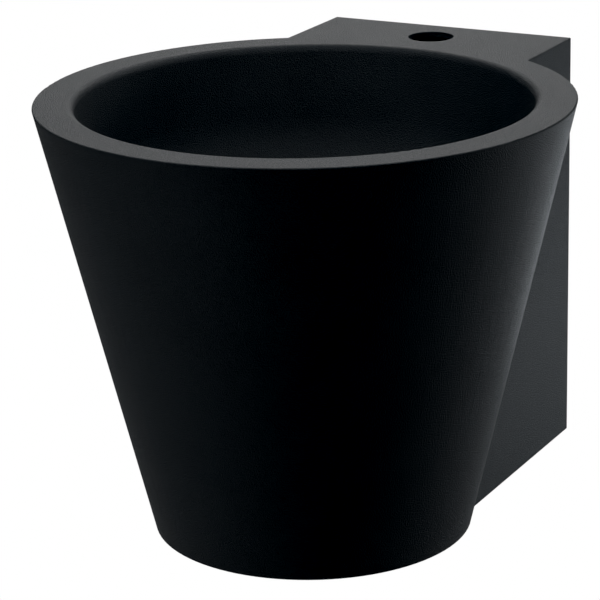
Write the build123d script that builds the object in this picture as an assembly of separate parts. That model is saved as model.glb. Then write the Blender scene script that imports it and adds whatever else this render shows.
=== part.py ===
"""Wall-hung conical washbasin with a tap ledge, a grid waste and a bottle trap.

Frame: millimetres. The origin lies on the wall plane, in the middle of the four wall fixings.
+Z is up, +Y points into the wall and +X is to the right of a person facing the wall.
The basin's own axis is vertical and crosses the XY plane at (0, -axis_to_wall).
"""
import os
from math import cos, radians, sin, sqrt, tan
from build123d import *

os.makedirs("parts", exist_ok=True)

# ---- driving dimensions -------------------------------------------------------------------
rim_radius = 192.5           # outer radius of the round rim
base_radius = 117.0          # outer radius of the cone at its foot
height = 320.0               # rim to foot
ledge_width = 202.0          # width of the box between cone and wall
axis_to_wall = 246.0         # basin axis to wall plane
tap_hole_radius = 17.5
tap_to_wall = 37.0           # tap hole centre to wall plane

sheet = 1.5                  # deck, cone, cheeks, back and cover
bowl_sheet = 1.2
edge_round = 0.9             # ground weld along the outer edge of the deck

lip_radius = 168.5           # where the flat rim ends and the bowl's lip starts to roll
lip_flat = 1.0               # flat edge of the bowl, welded into the deck
lip_roll = 6.0
wall_taper = 8.0             # bowl wall against the vertical, degrees
bowl_depth = 122.0           # rim to the lowest ring of the bowl floor
floor_fall = 5.0             # how far the bowl floor falls towards the waste
knuckle_radius = 75.0        # bowl wall into bowl floor
seat_radius = 34.0           # sunk seat for the waste
seat_depth = 3.0
waste_hole_radius = 23.5

frame_plate = 3.0            # wall frame
frame_gap = 7.0              # free space between wall frame and back panel
fixing_x = 140.0             # wall fixing pattern, hole to hole
fixing_z = 200.0
fixing_radius = 4.5
hook_x = 50.0
hook_width = 30.0
lock_x = 35.0                # locking screws
lock_z = -112.5

service_half_width = 50.0    # pipe opening in back panel and wall frame
service_low = -100.0
service_high = 75.0

pipe_radius = 16.0           # 32 mm waste pipe
thread_radius = 20.95        # G 1 1/4 thread, drawn as a plain cylinder
thread_gap = 0.05
outlet_z = -58.0             # axis of the pipe to the wall
bottle_radius = 30.0
running_gap = 0.08           # trap cup on trap body

# ---- values that follow from them -----------------------------------------------------------
top_z = height / 2
foot_z = -height / 2
under_deck = top_z - sheet
half_ledge = ledge_width / 2
slope = (rim_radius - base_radius) / height
wall_across = sheet * sqrt(1 + slope * slope)    # cone wall measured horizontally
panel_back = -(frame_plate + frame_gap)
panel_front = panel_back - sheet
floor_z = top_z - bowl_depth
seat_z = floor_z - seat_depth
under_seat = seat_z - bowl_sheet
cover_low = foot_z + 3.0
cover_high = cover_low + sheet
tab_thickness = 2.0
tab_high = cover_high + tab_thickness
basin_axis = Pos(0, -axis_to_wall, 0)


# ---- small shared shapes ----------------------------------------------------------------------
def cone_radius(z):
    """Outer radius of the cone at height z."""
    return base_radius + slope * (z - foot_z)


def turned(points):
    """Solid of revolution about Z from (radius, height) points."""
    return revolve(Plane.XZ * make_face(Polyline(*points, close=True)), Axis.Z)


def ring(outer, inner, low, high):
    """Plain ring about Z."""
    return turned([(inner, low), (outer, low), (outer, high), (inner, high)])


def disc(radius, low, high):
    """Plain round bar about Z."""
    return Pos(0, 0, (low + high) / 2) * Cylinder(radius, high - low)


def block(x0, x1, y0, y1, z0, z1):
    """Box between two corners."""
    return Pos((x0 + x1) / 2, (y0 + y1) / 2, (z0 + z1) / 2) * Box(x1 - x0, y1 - y0, z1 - z0)


def window(width, z0, z1, y0, y1, corner):
    """Upright opening with round corners, cut along Y about x = 0."""
    outline = Plane.XZ * Pos(0, (z0 + z1) / 2) * RectangleRounded(width, z1 - z0, corner)
    return Pos(0, y1, 0) * extrude(outline, y1 - y0)


def along_y(shape):
    """Turn a shape built along +Z so that it runs along +Y."""
    return Rot(-90, 0, 0) * shape


def solid_cone(shrink, low, high):
    """Solid truncated cone, its side moved in by shrink (measured horizontally)."""
    bottom = cone_radius(low) - shrink
    top = cone_radius(high) - shrink
    return turned([(0, low), (bottom, low), (top, high), (0, high)])


def outer_body(low, high):
    """Cone and box in one, as seen from outside, between two heights."""
    box = block(-half_ledge, half_ledge, -axis_to_wall, 0, low, high)
    return basin_axis * solid_cone(0, low, high) + box


# ---- sheet metal body ---------------------------------------------------------------------------
def top_deck():
    """Rim ring and tap ledge, cut from one sheet."""
    deck = outer_body(under_deck, top_z)
    upper = deck.edges().group_by(Axis.Z)[-1]
    free_edges = [e for e in upper if e.center().Y < -1.0]
    deck = fillet(free_edges, edge_round)
    deck -= basin_axis * disc(lip_radius + lip_flat, under_deck - 1, top_z + 1)
    deck -= Pos(0, -tap_to_wall, 0) * disc(tap_hole_radius, under_deck - 1, top_z + 1)
    return deck


def bowl():
    """Spun bowl: rolled lip, steep wall, wide knuckle, sloping floor and sunk seat for the waste."""
    lip_turn = 90 - wall_taper
    corner = lip_radius - lip_roll * tan(radians(lip_turn / 2))
    foot = corner - (bowl_depth - floor_fall) * tan(radians(wall_taper))
    line = FilletPolyline(
        (lip_radius + lip_flat, top_z),
        (corner, top_z),
        (foot, floor_z + floor_fall),
        (seat_radius + 2, floor_z),
        (seat_radius, seat_z),
        (waste_hole_radius, seat_z),
        radius=[lip_roll, knuckle_radius, 1.5, 1.5],
    )
    section = make_face(offset(line, amount=bowl_sheet, side=Side.LEFT))
    return basin_axis * revolve(Plane.XZ * section, Axis.Z)


def cone_shell():
    """Spun cone, cut open at the back between the cheeks for the pipes and the tap's tails."""
    shell = solid_cone(0, foot_z, under_deck) - solid_cone(wall_across, foot_z, under_deck)
    inside = half_ledge - sheet
    opening = block(-inside, inside, 0, rim_radius + 10, foot_z - 1, top_z)
    return basin_axis * (shell - opening)


def side_panel(side):
    """Flat cheek of the box; its front edge follows the cone."""
    panel = block(half_ledge - sheet, half_ledge, -axis_to_wall, 0, foot_z, under_deck)
    panel -= basin_axis * solid_cone(0, foot_z - 1, top_z)
    return panel if side > 0 else mirror(panel, Plane.YZ)


def back_panel():
    """Back of the box: two slots that hang on the hooks, a pipe opening and two locking holes."""
    reach = half_ledge - sheet
    panel = block(-reach, reach, panel_front, panel_back, tab_high + 0.5, under_deck)
    panel -= window(2 * service_half_width, service_low, service_high, panel_front - 1, panel_back + 1, 8)
    for x in (-hook_x, hook_x):
        slot_high = fixing_z / 2 + 25
        panel -= block(x - 17, x + 17, panel_front - 1, panel_back + 1, slot_high - 18, slot_high)
    for x in (-lock_x, lock_x):
        panel -= Pos(x, panel_front - 1, lock_z) * along_y(disc(3.5, 0, sheet + 2))
    return panel


def tap_reinforcement():
    """Plate welded under the ledge, so that a tap stands firm."""
    depth = 50.0
    plate = extrude(RectangleRounded(64, depth, 6), -3.0)
    plate -= disc(tap_hole_radius, -4, 1)
    return Pos(0, -tap_to_wall, under_deck) * plate


def sound_pad():
    """Sound-deadening ring glued to the underside of the bowl floor."""
    inner, outer, thickness = 44.0, 78.0, 3.0
    corner = lip_radius - lip_roll * tan(radians((90 - wall_taper) / 2))
    foot = corner - (bowl_depth - floor_fall) * tan(radians(wall_taper))
    fall = floor_fall / (foot - seat_radius - 2)
    clear = bowl_sheet * sqrt(1 + fall * fall)

    def underside(r):
        return floor_z + fall * (r - seat_radius - 2) - clear

    pad = turned([
        (inner, underside(inner)),
        (outer, underside(outer)),
        (outer, underside(outer) - thickness),
        (inner, underside(inner) - thickness),
    ])
    return basin_axis * pad


# ---- bottom cover and its fixings --------------------------------------------------------------
def front_cover_points():
    """Screw places near the front of the cover, on the cone's wall."""
    reach, angle = 100.0, radians(50)
    return [(side * reach * sin(angle), -axis_to_wall - reach * cos(angle)) for side in (-1, 1)]


def rear_cover_points():
    """Screw places near the wall, on the side panels."""
    return [(-86.0, -48.0), (86.0, -48.0)]


def cover_points():
    return front_cover_points() + rear_cover_points()


def cover_tabs():
    """Four welded tabs above the cover."""
    tabs = []
    for side in (-1, 1):
        ear = block(-12, 12, -118, -88, cover_high, tab_high)
        ear = Rot(0, 0, side * 50) * ear
        ear &= solid_cone(wall_across, cover_high, tab_high)
        tabs.append(basin_axis * ear)
        inner, outer = sorted((side * 75.0, side * (half_ledge - sheet)))
        tabs.append(block(inner, outer, -60, -36, cover_high, tab_high))
    holes = [Pos(x, y, 0) * disc(3.2, cover_high - 1, tab_high + 1) for x, y in cover_points()]
    return Compound([s for tab in tabs for s in (tab - holes).solids()])


def cover_nuts():
    """Clinch nuts in the tabs."""
    nut = disc(3.2, cover_high, tab_high) + disc(5.0, tab_high, tab_high + 3.5)
    nut -= disc(2.55, cover_high - 1, tab_high + 5)
    return Compound([s for x, y in cover_points() for s in (Pos(x, y, 0) * nut).solids()])


def access_cover():
    """Flat bottom cover, set just inside the foot of the shell."""
    side_gap = 0.8
    round_part = disc(cone_radius(cover_low) - wall_across - side_gap, cover_low, cover_high)
    reach = half_ledge - sheet - side_gap
    cover = basin_axis * round_part
    cover += block(-reach, reach, -axis_to_wall, -1.5, cover_low, cover_high)
    for x, y in cover_points():
        cover -= Pos(x, y, 0) * disc(2.9, cover_low - 1, cover_high + 1)
    return cover


def pan_screw(shank, length, head, head_height, socket):
    """Pan-head screw along +Z with its head below z = 0 and a six-sided socket in the head."""
    screw = disc(shank, 0, length) + disc(head, -head_height, 0)
    rim = screw.edges().filter_by(GeomType.CIRCLE).group_by(Axis.Z)[0]
    screw = fillet(rim, head_height * 0.4)
    screw -= Pos(0, 0, -head_height) * extrude(RegularPolygon(socket, 6), head_height * 0.6)
    return screw


def cover_screws():
    """Four security screws that hold the cover from below: six-sided socket with a centre pin."""
    screw = pan_screw(2.5, 10.0, 4.75, 2.5, 1.7) + disc(0.6, -2.3, -0.9)
    return Compound([s for x, y in cover_points() for s in (Pos(x, y, cover_low) * screw).solids()])


# ---- wall frame and locking --------------------------------------------------------------------
def wall_frame():
    """Steel frame screwed to the wall, with two hooks bent forwards and up."""
    half_w, half_h = 85.0, fixing_z / 2 + 25
    plate = window(2 * half_w, -half_h, half_h, -frame_plate, 0, 6)
    plate -= window(2 * service_half_width, service_low, service_high, -frame_plate - 1, 1, 8)
    for x in (-fixing_x / 2, fixing_x / 2):
        for z in (-fixing_z / 2, fixing_z / 2):
            plate -= Pos(x, -frame_plate - 1, z) * along_y(disc(fixing_radius, 0, frame_plate + 2))
    for x in (-lock_x, lock_x):
        plate -= Pos(x, -frame_plate - 1, lock_z) * along_y(disc(4.0, 0, frame_plate + 2))
    lip_back = panel_front - 1.0
    lip_front = lip_back - frame_plate
    for x in (-hook_x, hook_x):
        x0, x1 = x - hook_width / 2, x + hook_width / 2
        plate += block(x0, x1, lip_front, -frame_plate, half_h - frame_plate, half_h)
        plate += block(x0, x1, lip_front, lip_back, half_h - frame_plate, half_h + 12)
    return plate


def frame_standoffs():
    """Threaded standoffs clinched into the wall frame."""
    body = disc(5.0, -frame_plate - frame_gap, -frame_plate) + disc(4.0, -frame_plate, 0)
    body -= disc(3.05, -frame_plate - frame_gap - 1, 1)
    places = [Pos(x, 0, lock_z) * along_y(body) for x in (-lock_x, lock_x)]
    return Compound([s for place in places for s in place.solids()])


def locking_washers():
    washer = along_y(ring(8.0, 3.2, 0, 1.6))
    places = [Pos(x, panel_front - 1.6, lock_z) * washer for x in (-lock_x, lock_x)]
    return Compound([s for place in places for s in place.solids()])


def locking_screws():
    """Two screws that lock the back panel onto the standoffs."""
    screw = along_y(pan_screw(3.0, 12.0, 6.0, 4.0, 2.5))
    places = [Pos(x, panel_front - 1.6, lock_z) * screw for x in (-lock_x, lock_x)]
    return Compound([s for place in places for s in place.solids()])


# ---- grid waste --------------------------------------------------------------------------------
top_seal_high = seat_z + 1.0
grid_low = top_seal_high - 4.0
bottom_seal_low = under_seat - 3.0
tail_low = bottom_seal_low - 32.8


def waste_top_seal():
    return basin_axis * ring(30.0, waste_hole_radius, seat_z, top_seal_high)


def waste_grid():
    """Dished strainer with a flat flange, six curved slots and a countersunk screw hole."""
    skin = 1.5
    grid = turned([
        (0, grid_low),
        (20, grid_low),
        (23, top_seal_high),
        (32, top_seal_high),
        (32, top_seal_high + 0.8),
        (31.3, top_seal_high + skin),
        (22.2, top_seal_high + skin),
        (19.2, grid_low + skin),
        (0, grid_low + skin),
    ])
    slot = extrude(SlotArc(CenterArc((0, 0), 13.5, -19, 38), 5.0), 6)
    for turn in range(6):
        grid -= Pos(0, 0, grid_low - 2) * Rot(0, 0, 60 * turn) * slot
    grid -= turned([(0, grid_low), (3.4, grid_low), (5.4, grid_low + skin), (0, grid_low + skin)])
    return basin_axis * grid


def waste_screw():
    """Countersunk screw that clamps grid, seals and body together."""
    top = grid_low + 1.5
    screw = turned([(0, top), (5.2, top), (3.0, top - 1.7), (3.0, top - 28), (0, top - 28)])
    slot = block(-6, 6, -0.6, 0.6, top - 0.9, top + 1)
    return basin_axis * (screw - slot)


def waste_bottom_seal():
    return basin_axis * ring(31.0, waste_hole_radius, bottom_seal_low, under_seat)


def waste_body():
    """Funnel and threaded tail under the bowl, with a three-armed bridge for the screw."""
    flange_low = bottom_seal_low - 2.5
    throat = bottom_seal_low - 13.0
    body = turned([
        (24.5, bottom_seal_low),
        (31, bottom_seal_low),
        (31, flange_low),
        (27.5, flange_low),
        (thread_radius, throat),
        (thread_radius, tail_low),
        (17.5, tail_low),
        (17.5, throat),
    ])
    bridge_low, bridge_high = throat - 10, throat
    for turn in range(3):
        body += Rot(0, 0, 120 * turn) * block(0, 18.5, -1.5, 1.5, bridge_low + 3, bridge_high - 2)
    body += disc(6.0, bridge_low, bridge_high)
    body -= disc(3.05, bridge_low - 1, bridge_high + 1)
    return basin_axis * body


# ---- bottle trap -------------------------------------------------------------------------------
washer_low = tail_low - 2.0
tube_flange_low = washer_low - 2.0
neck_high = tail_low - 18.0
shoulder_z = neck_high - 16.0
bottle_low = shoulder_z - 68.0
seal_low = bottle_low - 2.0
dip_low = outlet_z - 64.0
stub_reach = 52.0


def union_nut(lip_z, towards):
    """Ribbed nut about Z: a lip round the tube at lip_z, the thread on the side given by towards."""
    lip, deep, outer = 2.0, 17.0, 25.0
    nut = ring(outer, thread_radius + thread_gap, *sorted((lip_z, lip_z + towards * deep)))
    nut += ring(outer, pipe_radius + 0.3, *sorted((lip_z, lip_z - towards * lip)))
    ends = nut.edges().filter_by(GeomType.CIRCLE).filter_by(lambda e: abs(e.radius - outer) < 0.01)
    nut = fillet(ends, 0.8)
    rib_low, rib_high = sorted((lip_z, lip_z + towards * (deep - 3)))
    for turn in range(12):
        rib = block(outer - 1, outer + 1.6, -1.4, 1.4, rib_low, rib_high)
        nut += Rot(0, 0, 30 * turn) * rib
    return nut


def inlet_washer():
    return basin_axis * ring(20.5, 16.5, washer_low, tail_low)


def inlet_tube():
    """Flanged tube from the waste down into the bottle."""
    tube = ring(pipe_radius, pipe_radius - 1.6, dip_low, washer_low)
    tube += ring(20.5, pipe_radius - 1.6, tube_flange_low, washer_low)
    return basin_axis * tube


def inlet_nut():
    return basin_axis * union_nut(tube_flange_low, 1)


def trap_ring():
    """Conical sealing ring on the neck of the bottle."""
    seal = turned([
        (pipe_radius + 0.1, neck_high),
        (20.5, neck_high),
        (19.0, neck_high + 3),
        (pipe_radius + 0.1, neck_high + 3),
    ])
    return basin_axis * seal


def trap_nut():
    return basin_axis * union_nut(neck_high + 3, -1)


def trap_body():
    """Bottle with a threaded neck, a side outlet and a threaded lower rim."""
    bottle = turned([
        (pipe_radius + 0.3, neck_high),
        (thread_radius, neck_high),
        (thread_radius, shoulder_z),
        (bottle_radius - 5, shoulder_z),
        (bottle_radius, shoulder_z - 5),
        (bottle_radius, bottle_low),
        (bottle_radius - 2.6, bottle_low),
        (bottle_radius - 2.6, shoulder_z - 6),
        (bottle_radius - 6, shoulder_z - 2.6),
        (pipe_radius + 0.3, shoulder_z - 2.6),
    ])
    centre = Pos(0, 0, outlet_z)
    stub = along_y(disc(thread_radius, bottle_radius - 8, stub_reach))
    bottle += centre * stub - disc(bottle_radius - 2.6, bottle_low, shoulder_z - 2.6)
    bottle -= centre * along_y(disc(14.0, 10, stub_reach + 1))
    bottle -= centre * along_y(disc(pipe_radius + 0.3, stub_reach - 18, stub_reach + 1))
    return basin_axis * bottle


def trap_cup_seal():
    return basin_axis * ring(bottle_radius - 0.3, bottle_radius - 2.8, seal_low, bottle_low)


def trap_cup():
    """Screw-on cup: a ribbed collar over the bottle's rim and a rounded bowl below."""
    collar_high = bottle_low + 14.0
    cup_low = seal_low - 32.5
    bore = bottle_radius + running_gap
    outside = turned([
        (0, cup_low),
        (32.0, cup_low),
        (32.0, seal_low - 1),
        (33.5, seal_low + 2),
        (33.5, collar_high),
        (0, collar_high),
    ])
    lower_rim = outside.edges().filter_by(GeomType.CIRCLE).group_by(Axis.Z)[0]
    outside = fillet(lower_rim, 9)
    hollow = disc(27.0, cup_low + 2.5, seal_low + 1)
    hollow_rim = hollow.edges().filter_by(GeomType.CIRCLE).group_by(Axis.Z)[0]
    hollow = fillet(hollow_rim, 7)
    cup = outside - hollow - disc(bore, seal_low, collar_high + 1)
    for turn in range(16):
        cup += Rot(0, 0, 22.5 * turn) * block(32.5, 34.8, -1.3, 1.3, seal_low + 3, collar_high - 1.5)
    return basin_axis * cup


def outlet_ring():
    seal = turned([
        (pipe_radius + 0.1, 0),
        (20.5, 0),
        (19.0, 3),
        (pipe_radius + 0.1, 3),
    ])
    return Pos(0, stub_reach - axis_to_wall, outlet_z) * along_y(seal)


def outlet_nut():
    nut = union_nut(3, -1)
    return Pos(0, stub_reach - axis_to_wall, outlet_z) * along_y(nut)


def waste_pipe():
    """Straight pipe to the wall plane, with a shallow groove that marks how deep it is pushed in."""
    start = stub_reach - 17
    mark = axis_to_wall - 40
    pipe = ring(pipe_radius, pipe_radius - 1.6, start, axis_to_wall)
    pipe -= ring(pipe_radius + 1, pipe_radius - 0.3, mark - 1.2, mark)
    return Pos(0, -axis_to_wall, outlet_z) * along_y(pipe)


# ---- one file per piece --------------------------------------------------------------------------
pieces = {
    "top_deck": top_deck(),
    "bowl": bowl(),
    "cone_shell": cone_shell(),
    "left_side_panel": side_panel(-1),
    "right_side_panel": side_panel(1),
    "back_panel": back_panel(),
    "tap_reinforcement": tap_reinforcement(),
    "sound_pad": sound_pad(),
    "cover_tabs": cover_tabs(),
    "cover_nuts": cover_nuts(),
    "access_cover": access_cover(),
    "cover_screws": cover_screws(),
    "wall_frame": wall_frame(),
    "frame_standoffs": frame_standoffs(),
    "locking_washers": locking_washers(),
    "locking_screws": locking_screws(),
    "waste_top_seal": waste_top_seal(),
    "waste_grid": waste_grid(),
    "waste_screw": waste_screw(),
    "waste_bottom_seal": waste_bottom_seal(),
    "waste_body": waste_body(),
    "inlet_washer": inlet_washer(),
    "inlet_tube": inlet_tube(),
    "inlet_nut": inlet_nut(),
    "trap_ring": trap_ring(),
    "trap_nut": trap_nut(),
    "trap_body": trap_body(),
    "trap_cup_seal": trap_cup_seal(),
    "trap_cup": trap_cup(),
    "outlet_ring": outlet_ring(),
    "outlet_nut": outlet_nut(),
    "waste_pipe": waste_pipe(),
}
for name, piece in pieces.items():
    export_step(piece, f"parts/{name}.step")
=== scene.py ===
"""Looks of the wall-hung conical washbasin: finishes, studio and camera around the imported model."""

import math

import bpy
from mathutils import Matrix, Vector

# camera: place in metres, angles in radians, lens and sensor in millimetres
CAMERA_PLACE = (0.8613, -1.8583, 0.6080)
CAMERA_YAW = -0.4942  # from +Y towards +X
CAMERA_PITCH = 0.3168  # downwards
CAMERA_ROLL = -0.0227
CAMERA_LENS = 159.4
SENSOR_WIDTH = 36.0
CLIP_END = 100.0

# stage: the rim hangs 0.85 m above the floor
MIDDLE = (0, -0.22, 0)
FLOOR_LEVEL = -0.69
FLOOR_RADIUS = 9.0
FLOOR_SIDES = 96
FLOOR_TONE = 0.3
FLOOR_MOTTLE = 0.03
BACKDROP_TONE = 1.0

# linear tone that prints as plain black
BLACK_POINT = (0.0071, 0.0072, 0.0074)

# panel colours: those behind and above are white, the side ones a little cool
WHITE = (1.0, 1.0, 1.0)
COOL = (0.95, 1.02, 1.08)

# tent panels: azimuth (degrees from +X towards +Y), elevation, radiance, colour
TENT = (
    (60, 5, 0.85, COOL),
    (120, 5, 0.80, WHITE),
    (0, 30, 0.60, COOL),
    (30, 30, 0.90, COOL),
    (90, 30, 1.50, WHITE),
    (120, 30, 1.48, WHITE),
    (210, 30, 1.50, COOL),
    (240, 30, 0.92, COOL),
    (0, 60, 1.00, COOL),
    (270, 60, 1.30, WHITE),
    (315, 60, 1.15, WHITE),
)
TENT_RADIUS = 4.0
TENT_PANEL_HEIGHT = 2.0
PANELS_IN_LOW_ROW = 12
PANELS_IN_HIGH_ROW = 8
HIGH_ROW = 45
TOP_PANEL_HEIGHT = 3.5
TOP_PANEL_SIDE = 2.2
TOP_PANEL_RADIANCE = 1.65

# glow panels just above the floor: azimuth, distance from the middle, side, radiance
FLOOR_GLOW = (
    (60, 2.2, 1.4, 0.70),
    (90, 2.2, 1.4, 1.20),
    (210, 1.3, 0.8, 0.68),
)
GLOW_LIFT = 0.03

# basin axis to the wall plane, and rings of the turned waste grid (0.5 mm apart)
AXIS_TO_WALL = 0.246
TURNING_SCALE = 630.0

# roughness of every noise field, and a turn that keeps a field's lattice off the flat faces
NOISE_ROUGHNESS = 0.55
OFF_GRID = (0.6, 0.9, 0.35)

NODES_OF_FINISH = {
    "black_coat": [
        "top_deck", "bowl", "cone_shell", "left_side_panel", "right_side_panel", "back_panel",
        "tap_reinforcement", "cover_tabs", "access_cover",
    ],
    "zinc_steel": ["wall_frame", "frame_standoffs", "cover_nuts"],
    "stainless_steel": ["cover_screws", "locking_screws", "locking_washers"],
    "turned_steel": ["waste_grid", "waste_screw"],
    "black_rubber": [
        "waste_top_seal", "waste_bottom_seal", "inlet_washer", "trap_ring", "trap_cup_seal",
        "outlet_ring",
    ],
    "damping_pad": ["sound_pad"],
    "white_plastic": ["inlet_tube", "trap_body", "trap_cup", "waste_pipe"],
    "grey_plastic": ["waste_body", "inlet_nut", "trap_nut", "outlet_nut"],
}


# ---- node building blocks -----------------------------------------------------------------------
def new_material(name):
    """A new material, its node tree and its shader."""
    material = bpy.data.materials.new(name)
    material.use_nodes = True
    return material, material.node_tree, material.node_tree.nodes["Principled BSDF"]


def own_metres(tree):
    """The piece's own coordinates, which are the frame's metres at rest."""
    return tree.nodes.new("ShaderNodeTexCoord").outputs["Object"]


def noise(tree, scale, detail=3.0, stretch=(1, 1, 1), turn=(0, 0, 0)):
    """A noise field; scale is features per metre."""
    mapping = tree.nodes.new("ShaderNodeMapping")
    mapping.inputs["Scale"].default_value = stretch
    mapping.inputs["Rotation"].default_value = turn
    field = tree.nodes.new("ShaderNodeTexNoise")
    field.inputs["Scale"].default_value = scale
    field.inputs["Detail"].default_value = detail
    field.inputs["Roughness"].default_value = NOISE_ROUGHNESS
    tree.links.new(own_metres(tree), mapping.inputs["Vector"])
    tree.links.new(mapping.outputs["Vector"], field.inputs["Vector"])
    return field.outputs["Fac"]


def ramp(tree, value, low, high, start=0.3, end=0.7):
    """Colour from low to high as value goes from start to end."""
    node = tree.nodes.new("ShaderNodeValToRGB")
    node.color_ramp.elements[0].position = start
    node.color_ramp.elements[0].color = (*low, 1)
    node.color_ramp.elements[1].position = end
    node.color_ramp.elements[1].color = (*high, 1)
    tree.links.new(value, node.inputs["Fac"])
    return node.outputs["Color"]


def spread(tree, value, low, high, start=0.3, end=0.7):
    """Number from low to high as value goes from start to end."""
    node = tree.nodes.new("ShaderNodeMapRange")
    node.inputs["From Min"].default_value = start
    node.inputs["From Max"].default_value = end
    node.inputs["To Min"].default_value = low
    node.inputs["To Max"].default_value = high
    tree.links.new(value, node.inputs["Value"])
    return node.outputs["Result"]


def multiplied(tree, a, b):
    """Product of two colours."""
    node = tree.nodes.new("ShaderNodeMix")
    node.data_type = "RGBA"
    node.blend_type = "MULTIPLY"
    node.inputs["Factor"].default_value = 1.0
    tree.links.new(a, node.inputs["A"])
    tree.links.new(b, node.inputs["B"])
    return node.outputs["Result"]


def bump(tree, height, strength, distance, under=None):
    """Normal of a height field, laid over another normal where one is given; distance in metres."""
    node = tree.nodes.new("ShaderNodeBump")
    node.inputs["Strength"].default_value = strength
    node.inputs["Distance"].default_value = distance
    tree.links.new(height, node.inputs["Height"])
    if under is not None:
        tree.links.new(under, node.inputs["Normal"])
    return node.outputs["Normal"]


def wire(tree, shader, colour, roughness, normal):
    """Join the three varying inputs of a shader."""
    tree.links.new(colour, shader.inputs["Base Color"])
    tree.links.new(roughness, shader.inputs["Roughness"])
    tree.links.new(normal, shader.inputs["Normal"])


# ---- finishes -----------------------------------------------------------------------------------
def black_coat():
    """Matt black powder coat: fine even speckle, faint clouds, a slightly cool black."""
    material, tree, shader = new_material("black_powder_coat")
    grain = noise(tree, 1200, detail=2.0, turn=OFF_GRID)
    speckle = ramp(tree, grain, (0.014, 0.019, 0.023), (0.034, 0.040, 0.045), 0.34, 0.66)
    cloud = ramp(tree, noise(tree, 14, detail=4.0), (0.86, 0.86, 0.86), (1, 1, 1))
    peel = bump(tree, noise(tree, 420, detail=2.0, turn=OFF_GRID), 0.12, 0.0003)
    wire(
        tree, shader,
        colour=multiplied(tree, speckle, cloud),
        roughness=spread(tree, grain, 0.30, 0.56),
        normal=bump(tree, grain, 1.0, 0.0010, peel),
    )
    shader.inputs["Specular IOR Level"].default_value = 0.25
    return material


def zinc_steel():
    """Galvanised sheet: crystal spangle of two tones, stained a little."""
    material, tree, shader = new_material("galvanised_steel")
    spangle = tree.nodes.new("ShaderNodeTexVoronoi")
    spangle.inputs["Scale"].default_value = 150
    tree.links.new(own_metres(tree), spangle.inputs["Vector"])
    tone = tree.nodes.new("ShaderNodeSeparateColor")
    tree.links.new(spangle.outputs["Color"], tone.inputs["Color"])
    crystal = ramp(tree, tone.outputs["Red"], (0.42, 0.43, 0.45), (0.62, 0.63, 0.64), 0.0, 1.0)
    stain = ramp(tree, noise(tree, 22, detail=5.0), (0.78, 0.77, 0.75), (1, 1, 1))
    wire(
        tree, shader,
        colour=multiplied(tree, crystal, stain),
        roughness=spread(tree, tone.outputs["Green"], 0.3, 0.48, 0.0, 1.0),
        normal=bump(tree, noise(tree, 900), 0.25, 0.00008),
    )
    shader.inputs["Metallic"].default_value = 1.0
    return material


def stainless_steel():
    """Drawn fastener steel with faint lines along Z."""
    material, tree, shader = new_material("stainless_steel")
    line = noise(tree, 60, detail=4.0, stretch=(20, 20, 2))
    wire(
        tree, shader,
        colour=ramp(tree, line, (0.52, 0.51, 0.49), (0.66, 0.65, 0.63)),
        roughness=spread(tree, noise(tree, 700), 0.18, 0.30),
        normal=bump(tree, line, 0.10, 0.00003),
    )
    shader.inputs["Metallic"].default_value = 1.0
    return material


def turned_steel():
    """Face-turned stainless steel: fine rings about the basin's axis, with faint water marks."""
    material, tree, shader = new_material("turned_stainless_steel")
    centre = tree.nodes.new("ShaderNodeMapping")
    centre.inputs["Location"].default_value = (0, AXIS_TO_WALL, 0)
    rings = tree.nodes.new("ShaderNodeTexWave")
    rings.wave_type = "RINGS"
    rings.rings_direction = "Z"
    rings.inputs["Scale"].default_value = TURNING_SCALE
    rings.inputs["Distortion"].default_value = 1.5
    rings.inputs["Detail"].default_value = 2.0
    tree.links.new(own_metres(tree), centre.inputs["Vector"])
    tree.links.new(centre.outputs["Vector"], rings.inputs["Vector"])
    line = rings.outputs["Fac"]
    tone = ramp(tree, line, (0.55, 0.545, 0.53), (0.66, 0.655, 0.64), 0.0, 1.0)
    mark = ramp(tree, noise(tree, 160, detail=4.0), (0.86, 0.85, 0.83), (1, 1, 1))
    wire(
        tree, shader,
        colour=multiplied(tree, tone, mark),
        roughness=spread(tree, noise(tree, 220), 0.20, 0.34),
        normal=bump(tree, line, 0.15, 0.00002),
    )
    shader.inputs["Metallic"].default_value = 1.0
    return material


def black_rubber():
    """Seal rubber with a little dust."""
    material, tree, shader = new_material("black_rubber")
    dust = noise(tree, 320, detail=4.0)
    wire(
        tree, shader,
        colour=ramp(tree, dust, (0.012, 0.012, 0.012), (0.03, 0.03, 0.03)),
        roughness=spread(tree, dust, 0.55, 0.75),
        normal=bump(tree, noise(tree, 2200, detail=2.0), 0.3, 0.00006),
    )
    return material


def damping_pad():
    """Crumbly bitumen sheet."""
    material, tree, shader = new_material("damping_pad")
    crumb = noise(tree, 260, detail=5.0)
    wire(
        tree, shader,
        colour=ramp(tree, crumb, (0.018, 0.017, 0.016), (0.045, 0.043, 0.04)),
        roughness=spread(tree, crumb, 0.7, 0.9),
        normal=bump(tree, crumb, 0.7, 0.0006),
    )
    return material


def moulded_plastic(name, low, high):
    """Moulded pipe plastic: soft flow marks between two tones and a fine texture."""
    material, tree, shader = new_material(name)
    wire(
        tree, shader,
        colour=ramp(tree, noise(tree, 35, detail=4.0), low, high),
        roughness=spread(tree, noise(tree, 600), 0.3, 0.44),
        normal=bump(tree, noise(tree, 1500, detail=2.0), 0.18, 0.00005),
    )
    return material


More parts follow.
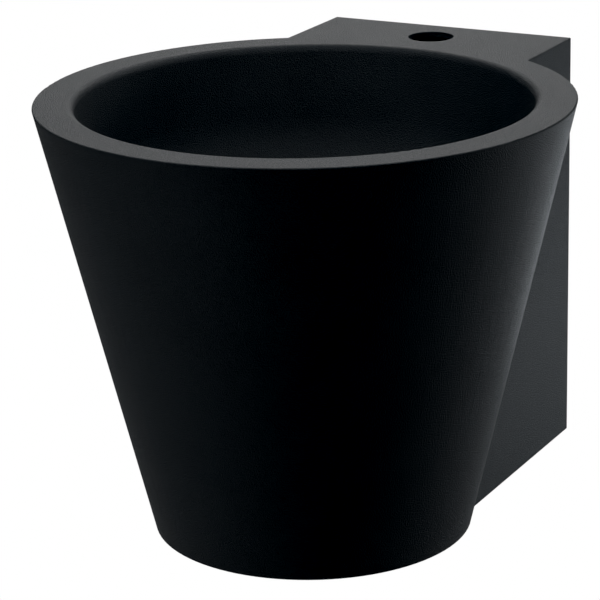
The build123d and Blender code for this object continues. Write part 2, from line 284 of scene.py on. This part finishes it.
def dress_nodes(nodes):
    """Give every CAD node its finish."""
    finishes = {
        "black_coat": black_coat(),
        "zinc_steel": zinc_steel(),
        "stainless_steel": stainless_steel(),
        "turned_steel": turned_steel(),
        "black_rubber": black_rubber(),
        "damping_pad": damping_pad(),
        "white_plastic": moulded_plastic("white_plastic", (0.74, 0.74, 0.71), (0.82, 0.82, 0.80)),
        "grey_plastic": moulded_plastic("grey_plastic", (0.26, 0.27, 0.28), (0.33, 0.34, 0.35)),
    }
    for finish, names in NODES_OF_FINISH.items():
        for name in names:
            slots = nodes[name].data.materials
            slots.clear()
            slots.append(finishes[finish])


# ---- studio -------------------------------------------------------------------------------------
def seen_and_felt(tree, seen, felt):
    """One shader for camera rays and another for all other rays, for the stage only."""
    path = tree.nodes.new("ShaderNodeLightPath")
    choice = tree.nodes.new("ShaderNodeMixShader")
    tree.links.new(path.outputs["Is Camera Ray"], choice.inputs["Fac"])
    tree.links.new(felt, choice.inputs[1])
    tree.links.new(seen, choice.inputs[2])
    return choice.outputs["Shader"]


def floor_material():
    """Pale floor, printed as plain backdrop, that a camera below it looks through."""
    material, tree, shader = new_material("pale_floor")
    low, high = (1 - FLOOR_MOTTLE) * FLOOR_TONE, (1 + FLOOR_MOTTLE) * FLOOR_TONE
    mottle = ramp(tree, noise(tree, 2.0), (low, low, low), (high, high, high))
    tree.links.new(mottle, shader.inputs["Base Color"])
    shader.inputs["Roughness"].default_value = 0.9
    shader.inputs["Specular IOR Level"].default_value = 0.1
    pale = tree.nodes.new("ShaderNodeEmission")
    pale.inputs["Color"].default_value = (BACKDROP_TONE, BACKDROP_TONE, BACKDROP_TONE, 1)
    see_through = tree.nodes.new("ShaderNodeBsdfTransparent")
    side = tree.nodes.new("ShaderNodeNewGeometry")
    choice = tree.nodes.new("ShaderNodeMixShader")
    top = seen_and_felt(tree, pale.outputs["Emission"], shader.outputs["BSDF"])
    tree.links.new(side.outputs["Backfacing"], choice.inputs["Fac"])
    tree.links.new(top, choice.inputs[1])
    tree.links.new(see_through.outputs["BSDF"], choice.inputs[2])
    tree.links.new(choice.outputs["Shader"], tree.nodes["Material Output"].inputs["Surface"])
    return material


def make_floor():
    """A round flat floor."""
    mesh = bpy.data.meshes.new("floor")
    turns = [2 * math.pi * i / FLOOR_SIDES for i in range(FLOOR_SIDES)]
    rim = [(FLOOR_RADIUS * math.cos(a), FLOOR_RADIUS * math.sin(a), FLOOR_LEVEL) for a in turns]
    mesh.from_pydata(rim, [], [list(range(FLOOR_SIDES))])
    mesh.materials.append(floor_material())
    floor = bpy.data.objects.new("studio_floor", mesh)
    bpy.context.scene.collection.objects.link(floor)


def softbox(name, place, target, width, height, radiance, colour):
    """A one-sided soft panel of the given radiance and colour, facing target."""
    light = bpy.data.lights.new(name, "AREA")
    light.shape = "RECTANGLE"
    light.size = width
    light.size_y = height
    light.energy = radiance * math.pi * width * height
    light.color = colour
    panel = bpy.data.objects.new(name, light)
    bpy.context.scene.collection.objects.link(panel)
    panel.location = place
    facing = Vector(target) - Vector(place)
    panel.rotation_euler = facing.to_track_quat("-Z", "Y").to_euler()
    panel.visible_camera = False


def light_tent(middle):
    """Rows of panels round the basin, with one overhead."""
    for azimuth, elevation, radiance, colour in TENT:
        turn, tilt = math.radians(azimuth), math.radians(elevation)
        out = Vector((
            math.cos(turn) * math.cos(tilt),
            math.sin(turn) * math.cos(tilt),
            math.sin(tilt),
        ))
        panels = PANELS_IN_LOW_ROW if elevation < HIGH_ROW else PANELS_IN_HIGH_ROW
        width = 2 * TENT_RADIUS * math.cos(tilt) * math.tan(math.pi / panels)
        name = f"tent_{azimuth}_{elevation}"
        place = middle + TENT_RADIUS * out
        softbox(name, place, middle, width, TENT_PANEL_HEIGHT, radiance, colour)
    top = Vector((middle.x, middle.y, TOP_PANEL_HEIGHT))
    softbox("tent_top", top, middle, TOP_PANEL_SIDE, TOP_PANEL_SIDE, TOP_PANEL_RADIANCE, WHITE)


def light_floor(middle):
    """Glowing patches just above the floor, facing up."""
    for azimuth, distance, side, radiance in FLOOR_GLOW:
        turn = math.radians(azimuth)
        place = middle + distance * Vector((math.cos(turn), math.sin(turn), 0))
        place.z = FLOOR_LEVEL + GLOW_LIFT
        above = place + Vector((0, 0, 1))
        softbox(f"floor_glow_{azimuth}", place, above, side, side, radiance, COOL)


def make_backdrop():
    """A plain pale surround that the camera sees and that lights nothing."""
    world = bpy.data.worlds.new("studio_air")
    bpy.context.scene.world = world
    world.use_nodes = True
    tree = world.node_tree
    seen = tree.nodes["Background"]
    seen.inputs["Color"].default_value = (BACKDROP_TONE, BACKDROP_TONE, BACKDROP_TONE, 1)
    dark = tree.nodes.new("ShaderNodeBackground")
    dark.inputs["Color"].default_value = (0, 0, 0, 1)
    air = seen_and_felt(tree, seen.outputs["Background"], dark.outputs["Background"])
    tree.links.new(air, tree.nodes["World Output"].inputs["Surface"])


def make_camera():
    """The photograph's viewing angle."""
    ahead = Vector((
        math.sin(CAMERA_YAW) * math.cos(CAMERA_PITCH),
        math.cos(CAMERA_YAW) * math.cos(CAMERA_PITCH),
        -math.sin(CAMERA_PITCH),
    ))
    level = Vector((math.cos(CAMERA_YAW), -math.sin(CAMERA_YAW), 0))
    upright = level.cross(ahead)
    right = math.cos(CAMERA_ROLL) * level + math.sin(CAMERA_ROLL) * upright
    up = math.cos(CAMERA_ROLL) * upright - math.sin(CAMERA_ROLL) * level
    lens = bpy.data.cameras.new("camera")
    lens.lens = CAMERA_LENS
    lens.sensor_width = SENSOR_WIDTH
    lens.clip_end = CLIP_END
    camera = bpy.data.objects.new("camera", lens)
    bpy.context.scene.collection.objects.link(camera)
    turn = Matrix((right, up, -ahead)).transposed().to_4x4()
    camera.matrix_world = Matrix.Translation(Vector(CAMERA_PLACE)) @ turn
    bpy.context.scene.camera = camera


def set_print_tone():
    """Plain tones with a small black point."""
    view = bpy.context.scene.view_settings
    view.view_transform = "Standard"
    view.use_curve_mapping = True
    view.curve_mapping.black_level = BLACK_POINT
    view.curve_mapping.update()


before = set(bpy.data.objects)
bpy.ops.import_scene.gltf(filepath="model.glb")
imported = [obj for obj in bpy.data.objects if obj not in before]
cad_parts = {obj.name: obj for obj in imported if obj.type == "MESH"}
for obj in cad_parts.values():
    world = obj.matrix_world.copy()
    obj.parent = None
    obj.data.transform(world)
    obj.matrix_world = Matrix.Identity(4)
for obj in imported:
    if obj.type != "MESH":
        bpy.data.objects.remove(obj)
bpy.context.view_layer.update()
make_camera()
make_floor()
light_tent(Vector(MIDDLE))
light_floor(Vector(MIDDLE))
make_backdrop()
dress_nodes(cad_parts)
set_print_tone()
